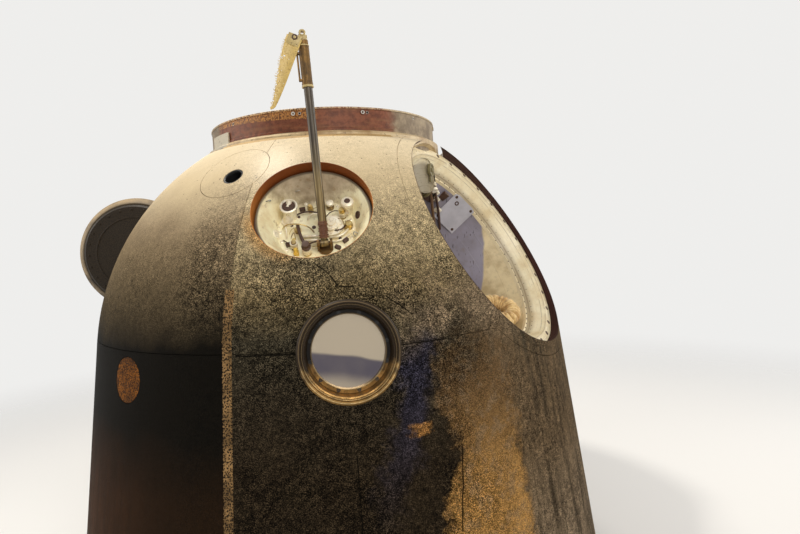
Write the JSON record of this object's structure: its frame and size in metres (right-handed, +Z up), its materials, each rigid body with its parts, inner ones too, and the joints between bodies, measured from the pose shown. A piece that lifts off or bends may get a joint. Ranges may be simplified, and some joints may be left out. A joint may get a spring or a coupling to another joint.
{
  "type": "space capsule",
  "caption": "Bell-shaped crew descent capsule with charred heat protection, a round window, an open parachute bay, an antenna mast in its well and a hinged top hatch.",
  "frame": {"origin": "centre of the base ring's underside, on the capsule's axis", "axes": "+Z up the capsule's axis, -Y towards the window and antenna well, +X towards the parachute bay's side"},
  "size_m": [2.2, 2.2, 2.0301],
  "materials": {
    "ash_heat_protection": "ash coated, scorched",
    "bare_metal": "stained",
    "blade_cream": "aged",
    "blank_plate": "satin",
    "brass": "dull",
    "charred_fairing": "charred",
    "charred_heat_protection": "charred, rough",
    "console_paint": "satin",
    "couch_moulding": "moulded",
    "cream_paint": "aged satin",
    "dark_groove": "burnt",
    "engine_metal": "heat stained",
    "frame_metal": "scorched",
    "hatch_paint": "satin",
    "hatch_ring_metal": "burnt paint over metal",
    "hose": "aged",
    "hull_metal": "dull",
    "mast_metal": "dull",
    "olive_paint": "satin",
    "pale_liner": "satin",
    "polished_metal": "polished",
    "port_black": "black",
    "riser_fabric": "woven canvas",
    "seam_filler": "crumbled filler",
    "steel": "dull",
    "vent_plug": "granular, burnt",
    "window_bronze": "heat coloured",
    "window_glass": "dark, coated",
    "window_steel": "blackened",
    "yellow_seal": "aged elastic"
  },
  "bodies": {
    "capsule": {"antenna_cup": "polished_metal", "band_groove": "dark_groove", "base_frame": "frame_metal", "bay_container": "pale_liner", "bay_flange": "cream_paint", "bay_hoses": "hose", "bay_neck_ring": "cream_paint", "bay_surround": "ash_heat_protection", "blank_plate": "blank_plate", "cone_panel_1": "charred_heat_protection", "cone_panel_2": "charred_heat_protection", "cone_panel_3": "charred_heat_protection", "cone_panel_4": "charred_heat_protection", "cone_panel_5": "charred_heat_protection", "cone_panel_6": "charred_heat_protection", "console": "console_paint", "couches": "couch_moulding", "dome_panel_1": "ash_heat_protection", "dome_panel_2": "ash_heat_protection", "dome_panel_3": "ash_heat_protection", "drain_plug": "charred_heat_protection", "hatch_bracket": "steel", "hatch_ring": "hatch_ring_metal", "landing_engines": "engine_metal", "lower_bulkhead": "hull_metal", "mast_fork": "steel", "periscope_face": "charred_fairing", "periscope_glass": "window_glass", "periscope_housing": "charred_fairing", "port_plug": "ash_heat_protection", "pressure_hull": "hull_metal", "reserve_frame": "bare_metal", "reserve_lid": "ash_heat_protection", "ring_step": "cream_paint", "riser_bracket": "bare_metal", "riser_pulley": "olive_paint", "riser_roll": "riser_fabric", "seal_band": "yellow_seal", "seam_filler": "seam_filler", "side_port": "port_black", "vent_plugs": "vent_plug", "well_connector": "steel", "well_fittings": "brass", "well_plate": "steel", "window_bezels": "window_bronze", "window_panes": "window_glass", "window_retainers": "window_steel"},
    "mast": {"mast_tube": "mast_metal", "mast_sleeve": "brass", "mast_head": "steel"},
    "blade": {"antenna_blade": "blade_cream"},
    "hatch": {"hatch_cover": "hatch_paint", "hatch_handwheel": "steel", "hatch_strap": "steel"}
  },
  "joints": [
    {"name": "mast_fold", "type": "hinge", "parent": "capsule", "child": "mast", "pos_m": [-0.02417, -0.75696, 1.35762], "axis": [0.9992, -0.0003, 0.0403], "range_deg": [0, 85]},
    {"name": "blade_swing", "type": "hinge", "parent": "mast", "child": "blade", "pos_m": [-0.07423, -0.76197, 2.00265], "axis": [0, -1, -0.0078], "range_deg": [-120, 0]},
    {"name": "hatch_swing", "type": "hinge", "parent": "capsule", "child": "hatch", "pos_m": [-0.29379, 0.2166, 1.7197], "axis": [0.5934, 0.8049, 0], "range_deg": [0, 88]}
  ]
}
